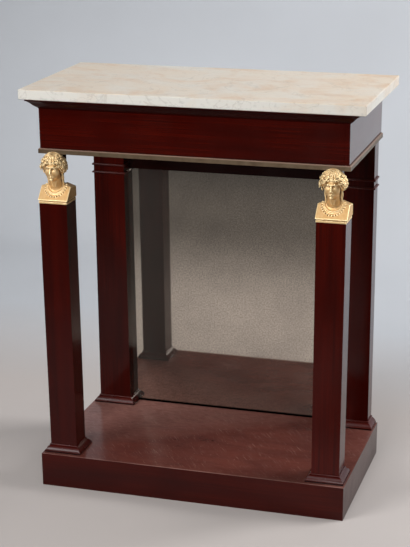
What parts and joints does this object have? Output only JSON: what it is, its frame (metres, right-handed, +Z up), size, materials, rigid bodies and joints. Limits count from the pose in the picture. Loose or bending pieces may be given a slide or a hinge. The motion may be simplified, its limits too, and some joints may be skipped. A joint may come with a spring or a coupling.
{
  "type": "pier table",
  "caption": "Pier table with a marble top, veneered frieze with a concealed drawer, square columns with bronze herm busts, rear pilasters, a looking glass and a box plinth.",
  "frame": {"origin": "on the floor, under the middle of the whole table's box", "axes": "+Z up, +X to the right of someone facing the table, -Y the front, +Y towards the wall"},
  "size_m": [0.704, 0.365, 0.85],
  "materials": {
    "marble": "polished, slightly worn",
    "mahogany": "French polished veneer",
    "carcase_oak": "planed, unpolished",
    "brass": "dull, patinated",
    "gilt_bronze": "matt gilding",
    "looking_glass": "old, greyed silvering",
    "iron": "forged"
  },
  "bodies": {
    "carcase": {"astragal_lower_left": "mahogany", "astragal_lower_right": "mahogany", "astragal_upper_left": "mahogany", "astragal_upper_right": "mahogany", "backboard_left": "carcase_oak", "backboard_middle": "carcase_oak", "backboard_right": "carcase_oak", "brass_front": "brass", "brass_left": "brass", "brass_right": "brass", "bust_left": "gilt_bronze", "bust_post_left": "mahogany", "bust_post_right": "mahogany", "bust_right": "gilt_bronze", "bust_stud_left": "iron", "bust_stud_right": "iron", "column_base_left": "mahogany", "column_base_right": "mahogany", "column_left": "mahogany", "column_right": "mahogany", "cornice_front": "mahogany", "cornice_left": "mahogany", "cornice_right": "mahogany", "drawer_kicker_left": "carcase_oak", "drawer_kicker_right": "carcase_oak", "drawer_runner_left": "carcase_oak", "drawer_runner_right": "carcase_oak", "frieze_back_rail": "carcase_oak", "frieze_bottom_rail": "mahogany", "frieze_corner_blocks": "carcase_oak", "frieze_side_left": "mahogany", "frieze_side_right": "mahogany", "frieze_top_rail": "mahogany", "marble_top": "marble", "mirror_glass": "looking_glass", "mirror_rail": "mahogany", "pilaster_base_left": "mahogany", "pilaster_base_right": "mahogany", "pilaster_left": "mahogany", "pilaster_right": "mahogany", "plinth_back": "carcase_oak", "plinth_bearer": "carcase_oak", "plinth_corner_blocks": "carcase_oak", "plinth_front": "mahogany", "plinth_side_left": "mahogany", "plinth_side_right": "mahogany", "plinth_top": "mahogany"},
    "drawer": {"drawer_back": "carcase_oak", "drawer_bottom": "carcase_oak", "drawer_front": "mahogany", "drawer_side_left": "carcase_oak", "drawer_side_right": "carcase_oak"}
  },
  "joints": [
    {"name": "drawer_slide", "type": "slide", "parent": "carcase", "child": "drawer", "axis": [0, -1, 0], "range_m": [0, 0.24]}
  ]
}
